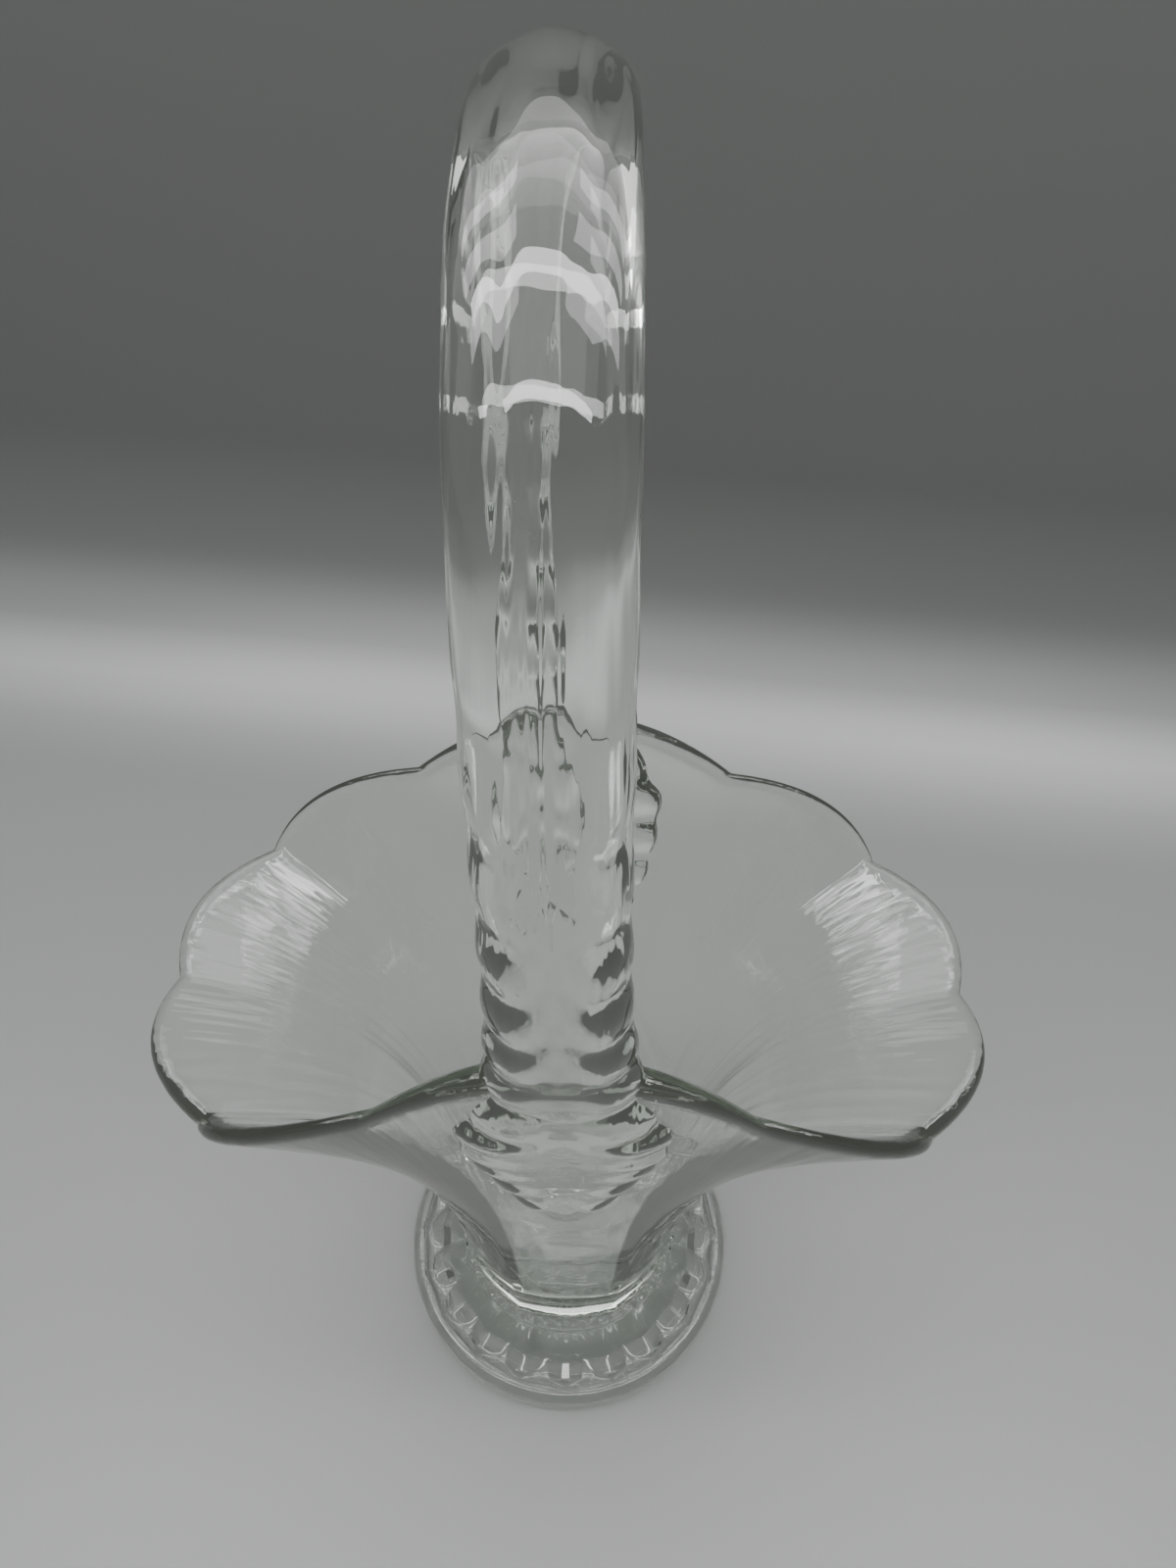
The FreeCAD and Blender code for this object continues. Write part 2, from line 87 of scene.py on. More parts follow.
def wall_poles(angle, rim, base_radius):
    """Poles (n, 4 stretches, 4 poles, xyz) of the wall's section at n azimuths.

    The four cubic curves run up the outside, over the lip, down the inside and across the floor.
    """
    out = level(angle)
    start = out * base_radius[:, None] + UP * BASE_HEIGHT
    reach = np.linalg.norm(rim - start, axis=1)[:, None]
    away = (rim - start) * [1, 1, 0]
    away /= np.linalg.norm(away, axis=1)[:, None]
    rise, rise_normal = lean(out, np.full_like(angle, BODY_LEAN))
    tilt, tilt_normal = lean(away, flare(angle))
    base, lip = WALL_AT_BASE / 2, WALL_AT_LIP / 2
    middle = (base + lip) / 2
    lower = start + rise * BODY_STIFFNESS * reach
    upper = rim - tilt * FLARE_STIFFNESS * reach
    outside = [start + rise_normal * base, lower + rise_normal * middle,
               upper + tilt_normal * middle, rim + tilt_normal * lip]
    corner = start - rise_normal * base + rise * (FLOOR_HEIGHT + FLOOR_CORNER - BASE_HEIGHT)
    inside = [rim - tilt_normal * lip, upper - tilt_normal * middle, lower - rise_normal * middle, corner]
    crown = tilt * WALL_AT_LIP * ROUND_LIP
    over = [outside[3], outside[3] + crown, inside[0] + crown, inside[0]]
    floor_rim = out * FLOOR_FLAT + UP * FLOOR_HEIGHT
    floor_reach = (np.linalg.norm(corner[:, :2], axis=1)[:, None] - FLOOR_FLAT) * ROUND_CORNER
    floor = [corner, corner - rise * FLOOR_CORNER * ROUND_CORNER, floor_rim + out * floor_reach, floor_rim]
    return np.stack([np.stack(curve, axis=1) for curve in (outside, over, inside, floor)], axis=1)


def panel_poles():
    """Wall poles at every column of the grid.

    Across each panel a pole follows a parabola from one ridge through the panel's middle section
    to the next ridge, so the panel is gently crowned and the ridges stay as soft creases.
    """
    side = (math.pi - HANDLE_PANEL) / 4
    half = np.array([0, side, 2 * side, math.pi - 2 * side, math.pi - side])
    ridges = np.concatenate([half, half + math.pi])
    after = np.append(ridges[1:], 2 * math.pi)
    middle = (ridges + after) / 2
    rims = rim_points(ridges)
    chord = (rims + np.roll(rims, -1, axis=0)) / 2
    away = chord * [1, 1, 0] / np.linalg.norm(chord[:, :2], axis=1)[:, None]
    lips = chord + lean(away, np.full(PANELS, SCALLOP_LEAN))[0] * SCALLOP_REACH
    handle = np.abs(np.cos(middle)) < 1e-6
    lips[handle] = (rim_points(middle) + UP * HANDLE_LIP_LIFT - level(middle) * HANDLE_LIP_PINCH)[handle]
    flat_side = (1 + np.cos((after - ridges) / 2)) / 2
    left = wall_poles(ridges, rims, np.full(PANELS, BASE_RADIUS))
    centre = wall_poles(middle, lips, BASE_RADIUS * flat_side)
    right = np.roll(left, -1, axis=0)
    columns = []
    for i in range(PANELS):
        count = HANDLE_COLUMNS if handle[i] else SIDE_COLUMNS
        v = (np.arange(count) / count)[:, None, None, None]
        columns.append(left[i] * (1 - v) ** 2 + right[i] * v ** 2
                       + (2 * centre[i] - (left[i] + right[i]) / 2) * 2 * v * (1 - v))
    return np.concatenate(columns)


def cubic_rows(poles, shares):
    """Points (rows, columns, xyz) of cubic curves with four poles per column at shares of their run."""
    t = np.asarray(shares)[:, None, None]
    return (poles[None, :, 0] * (1 - t) ** 3 + poles[None, :, 1] * 3 * t * (1 - t) ** 2
            + poles[None, :, 2] * 3 * t ** 2 * (1 - t) + poles[None, :, 3] * t ** 3)


wall = panel_poles()
outside_rows = cubic_rows(wall[:, 0], np.linspace(OUTSIDE_FROM, 1, OUTSIDE_ROWS))
lip_rows = cubic_rows(wall[:, 1], np.linspace(0, 1, LIP_ROWS)[1:-1])
inside_rows = cubic_rows(wall[:, 2], np.linspace(0, 1, INSIDE_ROWS))
floor_rows = cubic_rows(wall[:, 3], np.linspace(0, 1, FLOOR_ROWS)[1:])
azimuth = np.arctan2(outside_rows[0, :, 1], outside_rows[0, :, 0])


# Foot. A round disc of the same glass with a sunk underside and a smooth outer band. Inside the
# band a slope climbs to the bowl, scooped into twenty petals, with fine pleats over its upper
# half, and a collar of small beads covers the joint to the bowl.
FOOT_RADIUS, FOOT_EDGE, EDGE_ROUND, UNDERSIDE_ROUND = 40.0, 7.6, 2.4, 0.8
RECESS_RADIUS, RECESS_DEPTH, RECESS_FLAT, RECESS_FILLET, RECESS_ROUND = 32.0, 2.2, 8.0, 0.5, 0.4
BAND_FROM, BAND_ROWS = 37.2, 9
STEP_RADIUS, STEP_DEPTH, STEP_SLANT, STEP_FROM, STEP_ROWS = 35.5, 0.8, 0.1, 0.15, 4
NECK_RADIUS, NECK_HEIGHT = 26.5, 12.5
KNEE_RADIUS, KNEE_HEIGHT, KNEE_ROUND, KNEE_STEPS, SLOPE_ROWS = 31.2, 8.4, 5.0, 12, 30
PETALS, PETAL_DEPTH, PETAL_PLACE, PETAL_SPAN, PETAL_ENDS = 20, 2.1, 0.55, 1.24, 8
PLEATS, PLEAT_DEPTH, PLEATS_FROM = 60, 0.45, 0.45
COLLAR_RADIUS, COLLAR_THICKNESS, COLLAR_FROM, COLLAR_ROWS = 27.0, 3.4, math.radians(-25), 15
COLLAR_CLEAR, COLLAR_INMOST, COLLAR_OUTMOST = 0.05, -0.9, 0.2
BEADS, BEAD_HEIGHT, BEAD_POWER = 50, 1.3, 0.7
BEAD_MIDDLE, BEAD_SPREAD = math.radians(60), math.radians(42)


def rounded_outline(points):
    """A profile (r, z) through corners given as (r, z, radius, steps): each corner becomes an arc
    whose tangents are the two sides, by stepping a circle's centre angle from one side to the next."""
    rows = [points[0][:2]]
    for (r0, z0, *_), (r1, z1, radius, steps), (r2, z2, *_) in zip(points, points[1:], points[2:]):
        corner = np.array([r1, z1])
        back, on = np.array([r0, z0]) - corner, np.array([r2, z2]) - corner
        back, on = back / np.linalg.norm(back), on / np.linalg.norm(on)
        half = math.acos(max(-1, min(1, float(back @ on)))) / 2
        centre = corner + (back + on) / np.linalg.norm(back + on) * radius / math.sin(half)
        first, last = (corner + side * radius / math.tan(half) - centre for side in (back, on))
        turn = math.atan2(first[0] * last[1] - first[1] * last[0], float(first @ last))
        for i in range(steps + 1):
            c, s = math.cos(turn * i / steps), math.sin(turn * i / steps)
            rows.append(centre + [first[0] * c - first[1] * s, first[0] * s + first[1] * c])
    return np.array(rows)


def spin(profile):
    """Profile rows (r, z) carried round to every column: (r cos, r sin, z)."""
    around = level(azimuth)
    return profile[:, None, :1] * around + profile[:, None, 1:] * UP


def petal_rows():
    """The foot's top from the band in to the neck, scooped into petals.

    In a petal's own axes (out of the slope, down the slope, across) the slope drops by
    depth * cos^2(across) * (1 - down^8)^(1/2), and the step and band over a petal are cut as far below
    the slope, so ribs and hollows are equally round and the hollows' ends are steep. The slope is steep
    at the neck and gentle past its knee. The pleats are a raised cosine round it that fades outwards.
    """
    step_top = FOOT_EDGE - STEP_DEPTH
    run, climb = STEP_RADIUS - NECK_RADIUS, NECK_HEIGHT - step_top
    step_edge = STEP_RADIUS + STEP_SLANT
    band = np.stack([np.linspace(BAND_FROM, step_edge, BAND_ROWS), np.full(BAND_ROWS, FOOT_EDGE)], axis=1)
    fall = np.linspace(STEP_FROM, 1, STEP_ROWS)[:, None]
    step_wall = np.array([[step_edge, FOOT_EDGE]]) * (1 - fall) + [STEP_RADIUS, step_top] * fall
    knee = rounded_outline([(STEP_RADIUS, step_top, 0, 0),
                            (KNEE_RADIUS, KNEE_HEIGHT, KNEE_ROUND, KNEE_STEPS),
                            (NECK_RADIUS, NECK_HEIGHT, 0, 0)])
    knee = np.concatenate([knee, [[NECK_RADIUS, NECK_HEIGHT]]])
    along = np.concatenate([[0], np.cumsum(np.linalg.norm(np.diff(knee, axis=0), axis=1))])
    share = np.linspace(0, along[-1], SLOPE_ROWS)[1:]
    slope = np.stack([np.interp(share, along, knee[:, axis]) for axis in (0, 1)], axis=1)
    profile = np.concatenate([band, step_wall, slope])
    tilt = math.atan2(climb, run)
    pitch = 2 * math.pi / PETALS
    off = azimuth % pitch - pitch / 2
    out_by = profile[:, None, 0] * np.cos(off) - (STEP_RADIUS - run * PETAL_PLACE)
    up_by = profile[:, None, 1] - (step_top + climb * PETAL_PLACE)
    across = np.cos(math.pi * off / pitch) ** 2
    reach = math.hypot(run, climb) * PETAL_SPAN / 2
    down = (out_by * math.cos(tilt) - up_by * math.sin(tilt)) / reach
    above = out_by * math.sin(tilt) + up_by * math.cos(tilt)
    outer = len(band) + len(step_wall)
    above[outer:] = 0
    room = np.clip(1 - down ** PETAL_ENDS, 0, None)
    drop = np.where(room > 0, np.clip(above + PETAL_DEPTH * across * room ** 0.5, 0, None), 0)
    inward = np.concatenate([np.zeros(outer), np.linspace(0, 1, len(slope))])[:, None]
    fan = np.clip((inward - PLEATS_FROM) / (1 - PLEATS_FROM), 0, 1) ** 0.5
    drop = drop + PLEAT_DEPTH * fan * (0.5 - 0.5 * np.cos(PLEATS * azimuth))
    outward = level(azimuth - off) * math.sin(tilt) + UP * math.cos(tilt)
    return spin(profile) - drop[..., None] * outward[None]


def collar_rows():
    """A torus whose section turns from below its widest to where it meets the bowl's wall.

    Between its beads it dips by a raised cosine round it, which fades by a bell curve from the middle
    of the beads' row.
    """
    centre, thick = COLLAR_RADIUS - COLLAR_THICKNESS / 2, COLLAR_THICKNESS / 2
    wall_radius = np.linalg.norm(outside_rows[0, :, :2], axis=1)
    meets = np.arccos(np.clip((wall_radius + COLLAR_CLEAR - centre) / thick, COLLAR_INMOST, COLLAR_OUTMOST))
    turn = COLLAR_FROM + (meets - COLLAR_FROM) * np.linspace(0, 1, COLLAR_ROWS)[:, None]
    bead = (0.5 + 0.5 * np.cos(BEADS * azimuth)) ** BEAD_POWER
    window = np.exp(-((turn - BEAD_MIDDLE) / BEAD_SPREAD) ** 2)
    radius = thick - BEAD_HEIGHT * window * (1 - bead)
    r = centre + radius * np.cos(turn)
    z = NECK_HEIGHT + thick + radius * np.sin(turn)
    return level(azimuth)[None] * r[..., None] + UP * z[..., None]


underside = rounded_outline([(RECESS_FLAT, RECESS_DEPTH, 0, 0),
                             (RECESS_RADIUS - RECESS_DEPTH, RECESS_DEPTH, RECESS_FILLET, 3),
                             (RECESS_RADIUS, 0.0, RECESS_ROUND, 3), (FOOT_RADIUS, 0.0, UNDERSIDE_ROUND, 4),
                             (FOOT_RADIUS, FOOT_EDGE, EDGE_ROUND, 7), (STEP_RADIUS, FOOT_EDGE, 0, 0)])
rows = np.concatenate([spin(underside), petal_rows(), collar_rows(),
                       outside_rows, lip_rows, inside_rows, floor_rows])


def closed_grid(name, points):
    """A mesh from rows of points that close round: quads between rows, and a fan at each end."""
    count, around = points.shape[:2]
    index = np.arange(count * around).reshape(count, around)
    here, there = index[:-1], index[1:]
    quads = np.stack([here, np.roll(here, -1, axis=1), np.roll(there, -1, axis=1), there], axis=-1)
    first, last = count * around, count * around + 1
    ends = [[first, b, a] for a, b in zip(index[0], np.roll(index[0], -1))]
    ends += [[last, a, b] for a, b in zip(index[-1], np.roll(index[-1], -1))]
    vertices = np.concatenate([points.reshape(-1, 3), [points[0].mean(axis=0), points[-1].mean(axis=0)]])
    mesh = bpy.data.meshes.new(name)
    mesh.from_pydata((vertices * MM).tolist(), [], quads.reshape(-1, 4).tolist() + ends)
    mesh.update()
    piece = bpy.data.objects.new(name, mesh)
    bpy.context.scene.collection.objects.link(piece)
    return piece


# Strap handle. A flat band of the same glass that starts as a rounded skirt on the bowl's narrow
# side, stands up from the rim and arches over to the other side. Its face is pressed with lobes
# that sweep down and out from the middle like an ear of wheat, and fade where it was drawn out.
TIP_HEIGHT, RIM_HEIGHT, RIM_REACH = 82.0, 149.5, 34.6
ARCH_START, ARCH_SPAN, ARCH_CROWN, ARCH_POWER, ARCH_LEAN = 205.0, 40.4, 260.0, 2.6, -1.6
RIM_WIDTH, SKIRT_WIDTH, CROWN_WIDTH, TAPER_LENGTH = 12.4, 17.0, 7.9, 26.0
CROWN_DOME, RIM_DOME, STRAP_BACK = 4.5, 5.6, 0.9
SKIRT_RELIEF, SKIRT_SINK, SKIRT_WIDEST, LEAVES_WALL = 2.4, 1.3, 0.78, 0.375
SKIRT_SWELL, SWELL_AT_TIP, RIM_SWELL_FROM, FIRST_SECTION = 0.3, 0.15, 0.5, 0.05
FIRST_HOLLOW, PITCH_LOW, PITCH_HIGH, LOBE_DEPTH = 12.7, 7.2, 17.5, 2.0
SECTION_FACE = np.array([-0.97, -0.82, -0.62, -0.42, -0.21, 0.0, 0.21, 0.42, 0.62, 0.82, 0.97])
SECTION_BACK = np.array([0.66, 0.0, -0.66])
SECTION_POWER, EDGE_PAST, EDGE_BITE = 2.6, 0.03, 0.06
LOBE_SWEEP, LOBE_CURL, HOLLOW_PLACE, LOBE_SKEW, LOBE_AT_MIDDLE = 0.8, 0.45, 0.85, 0.1, 0.15
FADE_FROM, FADE_TO, FADED_LOBES = 0.55, 0.85, 0.2
CROWN_RIB, RIB_HALF_WIDTH, RIB_SIDE = 0.7, 0.25, 0.3
WALL_STEPS, LEG_STEPS, ARCH_STEPS, ROWS_PER_LOBE, DIRECTION_RUN = 400, 80, 161, 5, 1.5
ROWS_PER_POLE, COLUMNS_PER_POLE = 2, 3


def smooth(value):
    """A ramp from 0 to 1 with level ends: 3v^2 - 2v^3."""
    value = np.clip(value, 0, 1)
    return value * value * (3 - 2 * value)


def strap_line():
    """The strap's edge line as close points: up the wall's outside, up a leg that leans out by a
    quarter sine, over a superellipse, and the same mirrored behind."""
    middle_column = np.argmin(np.abs(azimuth + math.pi / 2))
    front = cubic_rows(wall[[middle_column], 0], np.linspace(0, 1, WALL_STEPS))[:, 0]
    share = np.arange(LEG_STEPS) / LEG_STEPS
    height = TIP_HEIGHT + (RIM_HEIGHT - TIP_HEIGHT) * share
    sunk = -np.interp(np.minimum(height, front[-1, 2]), front[:, 2], front[:, 1]) - SKIRT_SINK
    leaves = smooth((share - LEAVES_WALL) / (1 - LEAVES_WALL))
    skirt = np.stack([0 * share, -(sunk + (RIM_REACH - sunk) * leaves), height], axis=1)
    leg = np.stack([0 * share, -(RIM_REACH + (ARCH_SPAN - RIM_REACH) * np.sin(math.pi / 2 * share)),
                    RIM_HEIGHT + (ARCH_START - RIM_HEIGHT) * share], axis=1)
    turn = np.linspace(0, math.pi / 2, ARCH_STEPS)
    arch = np.stack([0 * turn, -ARCH_SPAN * np.clip(np.cos(turn), 0, 1) ** (2 / ARCH_POWER),
                     ARCH_START + (ARCH_CROWN - ARCH_START) * np.sin(turn) ** (2 / ARCH_POWER)], axis=1)
    half = np.concatenate([skirt, leg, arch])
    half[:, 0] = ARCH_LEAN * np.clip(half[:, 2] - RIM_HEIGHT, 0, None) / (ARCH_CROWN - RIM_HEIGHT)
    return np.concatenate([half, half[-2::-1] * [1, -1, 1]])


def strap_poles():
    """Poles (sections, 14, xyz) of the strap's surface.

    Each section is a flattened dome over a flat back, edge to edge across the line. Hollows between
    the lobes are cut into the dome, and past the lobes' end a low rib stays along its middle.
    """
    line = strap_line()
    runs = np.concatenate([[0], np.cumsum(np.linalg.norm(np.diff(line, axis=0), axis=1))])
    length, half, rim_run = runs[-1], runs[-1] / 2, RIM_HEIGHT - TIP_HEIGHT
    growth = (PITCH_HIGH - PITCH_LOW) / half

    def count(run):
        """Lobes up to a place: a logarithm, because their pitch grows evenly from low to high."""
        return np.log(1 + growth * run / PITCH_LOW) / growth

    def droop(side):
        """How far a lobe hangs down at a share of the half width: a slope plus a half sine."""
        return LOBE_SWEEP * side + LOBE_CURL * np.sin(math.pi * side)

    def faded(run):
        """The lobes' fading, from 0 low on the strap to 1 near its top."""
        return smooth((run / half - FADE_FROM) / (FADE_TO - FADE_FROM))

    def lobe(run, side):
        """1 on a lobe and 0 in a hollow: a skewed raised cosine of the lobes' count plus their droop."""
        turns = 2 * math.pi * (count(run) + droop(side) - droop(HOLLOW_PLACE) - count(FIRST_HOLLOW))
        wave = 0.5 - 0.5 * np.cos(turns + 2 * math.pi * LOBE_SKEW * np.sin(turns))
        return 1 - (1 - wave) * (1 - (1 - FADED_LOBES) * faded(run))

    first, last = count(rim_run * FIRST_SECTION), count(half)
    steps = int((last - first) * ROWS_PER_LOBE)
    up = (np.exp((first + (last - first) * np.arange(steps) / steps) * growth) - 1) * PITCH_LOW / growth
    along = np.concatenate([up, [half], length - up[::-1]])
    short = np.minimum(along, length - along)

    def at(run):
        """Points of the edge line at lengths along it."""
        return np.stack([np.interp(run, runs, line[:, axis]) for axis in range(3)], axis=1)

    centre = at(along)
    forward = at(along + DIRECTION_RUN) - at(along - DIRECTION_RUN)
    face = np.cross([1.0, 0, 0], forward)
    face /= np.linalg.norm(face, axis=1)[:, None]

    widest = rim_run * SKIRT_WIDEST
    skirt = SKIRT_WIDTH * (1 - (1 - short / widest) ** 2)
    waist = SKIRT_WIDTH + (RIM_WIDTH - SKIRT_WIDTH) * smooth((short - widest) / (rim_run - widest))
    taper = CROWN_WIDTH + (RIM_WIDTH - CROWN_WIDTH) * np.exp(-(short - rim_run) / TAPER_LENGTH)
    width = np.where(short < widest, skirt, np.where(short < rim_run, waist, taper))[:, None]
    low = SKIRT_SINK + SKIRT_RELIEF
    share = short / rim_run
    swell = smooth(SWELL_AT_TIP + share / SKIRT_SWELL)
    on_wall = low * swell + (RIM_DOME - low) * smooth((share - RIM_SWELL_FROM) / (1 - RIM_SWELL_FROM))
    free = RIM_DOME + (CROWN_DOME - RIM_DOME) * smooth((short - rim_run) / (half - rim_run))
    dome = np.where(short < rim_run, on_wall, free)[:, None]

    edge = width * (1 - EDGE_BITE * (1 - lobe(short, 1.0)))[:, None]
    side = np.abs(SECTION_FACE)[None]
    bulge = (1 - side ** SECTION_POWER) ** 0.5
    depth = LOBE_DEPTH * swell[:, None] * (LOBE_AT_MIDDLE + (1 - LOBE_AT_MIDDLE) * side ** 2)
    hollow = depth * (1 - lobe(short[:, None], side)) * bulge ** 0.5
    hollow = hollow + CROWN_RIB * faded(short)[:, None] * bulge * smooth((side - RIB_HALF_WIDTH) / RIB_SIDE)
    across = np.concatenate([edge * SECTION_FACE, edge * (1 + EDGE_PAST), width * SECTION_BACK,
                             -edge * (1 + EDGE_PAST)], axis=1)
    back = 0 * width - STRAP_BACK * np.ones(len(SECTION_BACK))
    lift = np.concatenate([dome * bulge - hollow, 0 * width, back, 0 * width], axis=1)
    return centre[:, None] + across[..., None] * [1.0, 0, 0] + lift[..., None] * face[:, None]


def spline_points(poles, per_span, closed):
    """Points of a uniform cubic spline along the first axis: each is a blend of four poles in turn.
    An open spline repeats its end poles, so that it reaches them."""
    if closed:
        padded = np.concatenate([poles[-1:], poles, poles[:2]])
    else:
        padded = np.concatenate([poles[:1], poles[:1], poles, poles[-1:], poles[-1:]])
    t = np.arange(per_span) / per_span
    blend = np.stack([(1 - t) ** 3, 3 * t ** 3 - 6 * t ** 2 + 4,
                      -3 * t ** 3 + 3 * t ** 2 + 3 * t + 1, t ** 3]) / 6
    spans = len(padded) - 3
    windows = np.stack([padded[i:i + spans] for i in range(4)])
    points = np.einsum("kt,ks...->st...", blend, windows).reshape(spans * per_span, *poles.shape[1:])
    return points if closed else np.concatenate([points, poles[-1:]])


strap_rows = spline_points(strap_poles(), ROWS_PER_POLE, closed=False)
strap_points = spline_points(strap_rows.transpose(1, 0, 2), COLUMNS_PER_POLE, closed=True).transpose(1, 0, 2)
basket = closed_grid("basket_body", rows)
strap = closed_grid("basket_strap", strap_points[1:-1])


# Glass basket. Bowl, foot and strap are one casting, so the strap is joined to the body as a solid,
# and the inner walls between them go. Clear glass with a faint grey-green depth colour, a faint painted
# glow, broad ripples, and fine streaks that run up the flared bowl and along the handle.
SHARP_ANGLE = math.radians(40)
GLASS_TINT, GLASS_IOR = (0.985, 0.995, 0.99, 1), 1.51
GLASS_DEPTH_TINT, GLASS_DEPTH_DENSITY = (0.76, 0.80, 0.74, 1), 26.0
GLASS_PAINTED_GLOW, PAINTED_GLOW_STRENGTH = (0.95, 1.0, 0.92, 1), 0.011     # painted glow: the glass gives off a faint light of its own, standing in for light that many inner reflections bring back
RIPPLE_SCALE, RIPPLE_DEPTH, NOISE_DETAIL = 55.0, 0.00014, 1.0
PANEL_STREAKS, PANEL_STREAKS_FROM, PANEL_STREAKS_TO = 1.7, 0.030, 0.050         # by distance from the axis
HANDLE_STREAKS, HANDLE_STREAKS_FROM, HANDLE_STREAKS_TO = 4.0, 0.16, 0.20        # by height
STREAKS_AROUND, STREAKS_UP, STREAKS_ACROSS, STREAKS_ALONG = 24.0, 45.0, 260.0, 30.0

join = basket.modifiers.new("join_strap", "BOOLEAN")
join.operation, join.solver, join.object = "UNION", "MANIFOLD", strap
joined = bpy.data.meshes.new_from_object(basket.evaluated_get(bpy.context.evaluated_depsgraph_get()))
bpy.data.objects.remove(strap)
basket.modifiers.clear()
basket.data = joined
basket.name = "glass_basket_clear"
joined.shade_smooth()
joined.set_sharp_from_angle(angle=SHARP_ANGLE)


def add_node(tree, kind, inputs, **settings):
    """A shader node's outputs. Each input, by name or number, takes a value or follows a socket."""
    made = tree.nodes.new(kind)
    for key, value in settings.items():
        setattr(made, key, value)
    for key, value in inputs.items():
        if isinstance(value, bpy.types.NodeSocket):
            tree.links.new(value, made.inputs[key])
        else:
            made.inputs[key].default_value = value
    return made.outputs


clear_glass = bpy.data.materials.new("clear_pressed_glass")
clear_glass.use_nodes = True
skin = clear_glass.node_tree
glass = skin.nodes["Principled BSDF"]
glass.inputs["Base Color"].default_value = GLASS_TINT
glass.inputs["Roughness"].default_value = 0.0
glass.inputs["IOR"].default_value = GLASS_IOR
glass.inputs["Transmission Weight"].default_value = 1.0
# Painted glow: a faint emission lightens the glass where inner reflections would bring light back.
glass.inputs["Emission Color"].default_value = GLASS_PAINTED_GLOW
glass.inputs["Emission Strength"].default_value = PAINTED_GLOW_STRENGTH
absorbed = add_node(skin, "ShaderNodeVolumeAbsorption",
                    {"Color": GLASS_DEPTH_TINT, "Density": GLASS_DEPTH_DENSITY})["Volume"]
skin.links.new(absorbed, skin.nodes["Material Output"].inputs["Volume"])

place = add_node(skin, "ShaderNodeTexCoord", {})["Object"]
apart = add_node(skin, "ShaderNodeSeparateXYZ", {"Vector": place})
backward = add_node(skin, "ShaderNodeMath", {0: apart["Y"], 1: -1.0}, operation="MULTIPLY")[0]
around = add_node(skin, "ShaderNodeMath", {0: apart["X"], 1: backward}, operation="ARCTAN2")[0]
level_place = add_node(skin, "ShaderNodeVectorMath", {0: place, 1: (1.0, 1.0, 0.0)}, operation="MULTIPLY")[0]
from_axis = add_node(skin, "ShaderNodeVectorMath", {0: level_place}, operation="LENGTH")["Value"]
bowl_x = add_node(skin, "ShaderNodeMath", {0: around, 1: STREAKS_AROUND}, operation="MULTIPLY")[0]
bowl_y = add_node(skin, "ShaderNodeMath", {0: from_axis, 1: STREAKS_UP}, operation="MULTIPLY")[0]
bowl_place = add_node(skin, "ShaderNodeCombineXYZ", {"X": bowl_x, "Y": bowl_y})[0]
along_handle = (STREAKS_ACROSS, STREAKS_ALONG, STREAKS_ALONG)
handle_place = add_node(skin, "ShaderNodeVectorMath", {0: place, 1: along_handle}, operation="MULTIPLY")[0]
ripple, bowl_streak, handle_streak = (
    add_node(skin, "ShaderNodeTexNoise", {"Vector": where, "Scale": scale, "Detail": NOISE_DETAIL})[0]
    for where, scale in ((place, RIPPLE_SCALE), (bowl_place, 1.0), (handle_place, 1.0)))
on_panels, on_handle = (
    add_node(skin, "ShaderNodeMapRange", {"Value": by, "From Min": low, "From Max": high, "To Max": most})[0]
    for by, low, high, most in (
        (from_axis, PANEL_STREAKS_FROM, PANEL_STREAKS_TO, PANEL_STREAKS),
        (apart["Z"], HANDLE_STREAKS_FROM, HANDLE_STREAKS_TO, HANDLE_STREAKS)))
bowl_part = add_node(skin, "ShaderNodeMath", {0: bowl_streak, 1: on_panels}, operation="MULTIPLY")[0]
streaks = add_node(skin, "ShaderNodeMath", {0: handle_streak, 1: on_handle, 2: bowl_part},
                   operation="MULTIPLY_ADD")[0]
relief = add_node(skin, "ShaderNodeMath", {0: streaks, 1: ripple}, operation="ADD")[0]
bump = add_node(skin, "ShaderNodeBump", {"Strength": 1.0, "Distance": RIPPLE_DEPTH, "Height": relief})
skin.links.new(bump["Normal"], glass.inputs["Normal"])
joined.materials.clear()
joined.materials.append(clear_glass)

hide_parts("glass_basket")
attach(basket, "root")


# Table and backdrop. One pale sheet lies flat under the basket and sweeps up behind it. Its colour carries
# painted light: a painted lit band where it starts to curve up, and painted shade that darkens it where it
# stands up. From behind it is clear, so that the basket can be seen from there too.
SHEET_HALF_WIDTH, SHEET_FRONT = 2.2, -1.6
SWEEP_START, SWEEP_RADIUS, SWEEP_STEPS = 0.145, 0.09, 25
SHEET_TOP, SHEET_TURN = 0.4, math.radians(-6.2)
PAPER_LIGHT_AND_SHADE = ((0.0, 0.225), (0.012, 0.34), (0.026, 0.19), (0.05, 0.115))       # height and grey: the floor's tone, a painted lit band where the sheet starts to curve up, then painted shade up the wall
PAPER_TINT, PAPER_SHADED_TOP, PAPER_ROUGHNESS = (1, 1.03, 1.01), (0.105, 0.105, 0.10, 1), 0.38

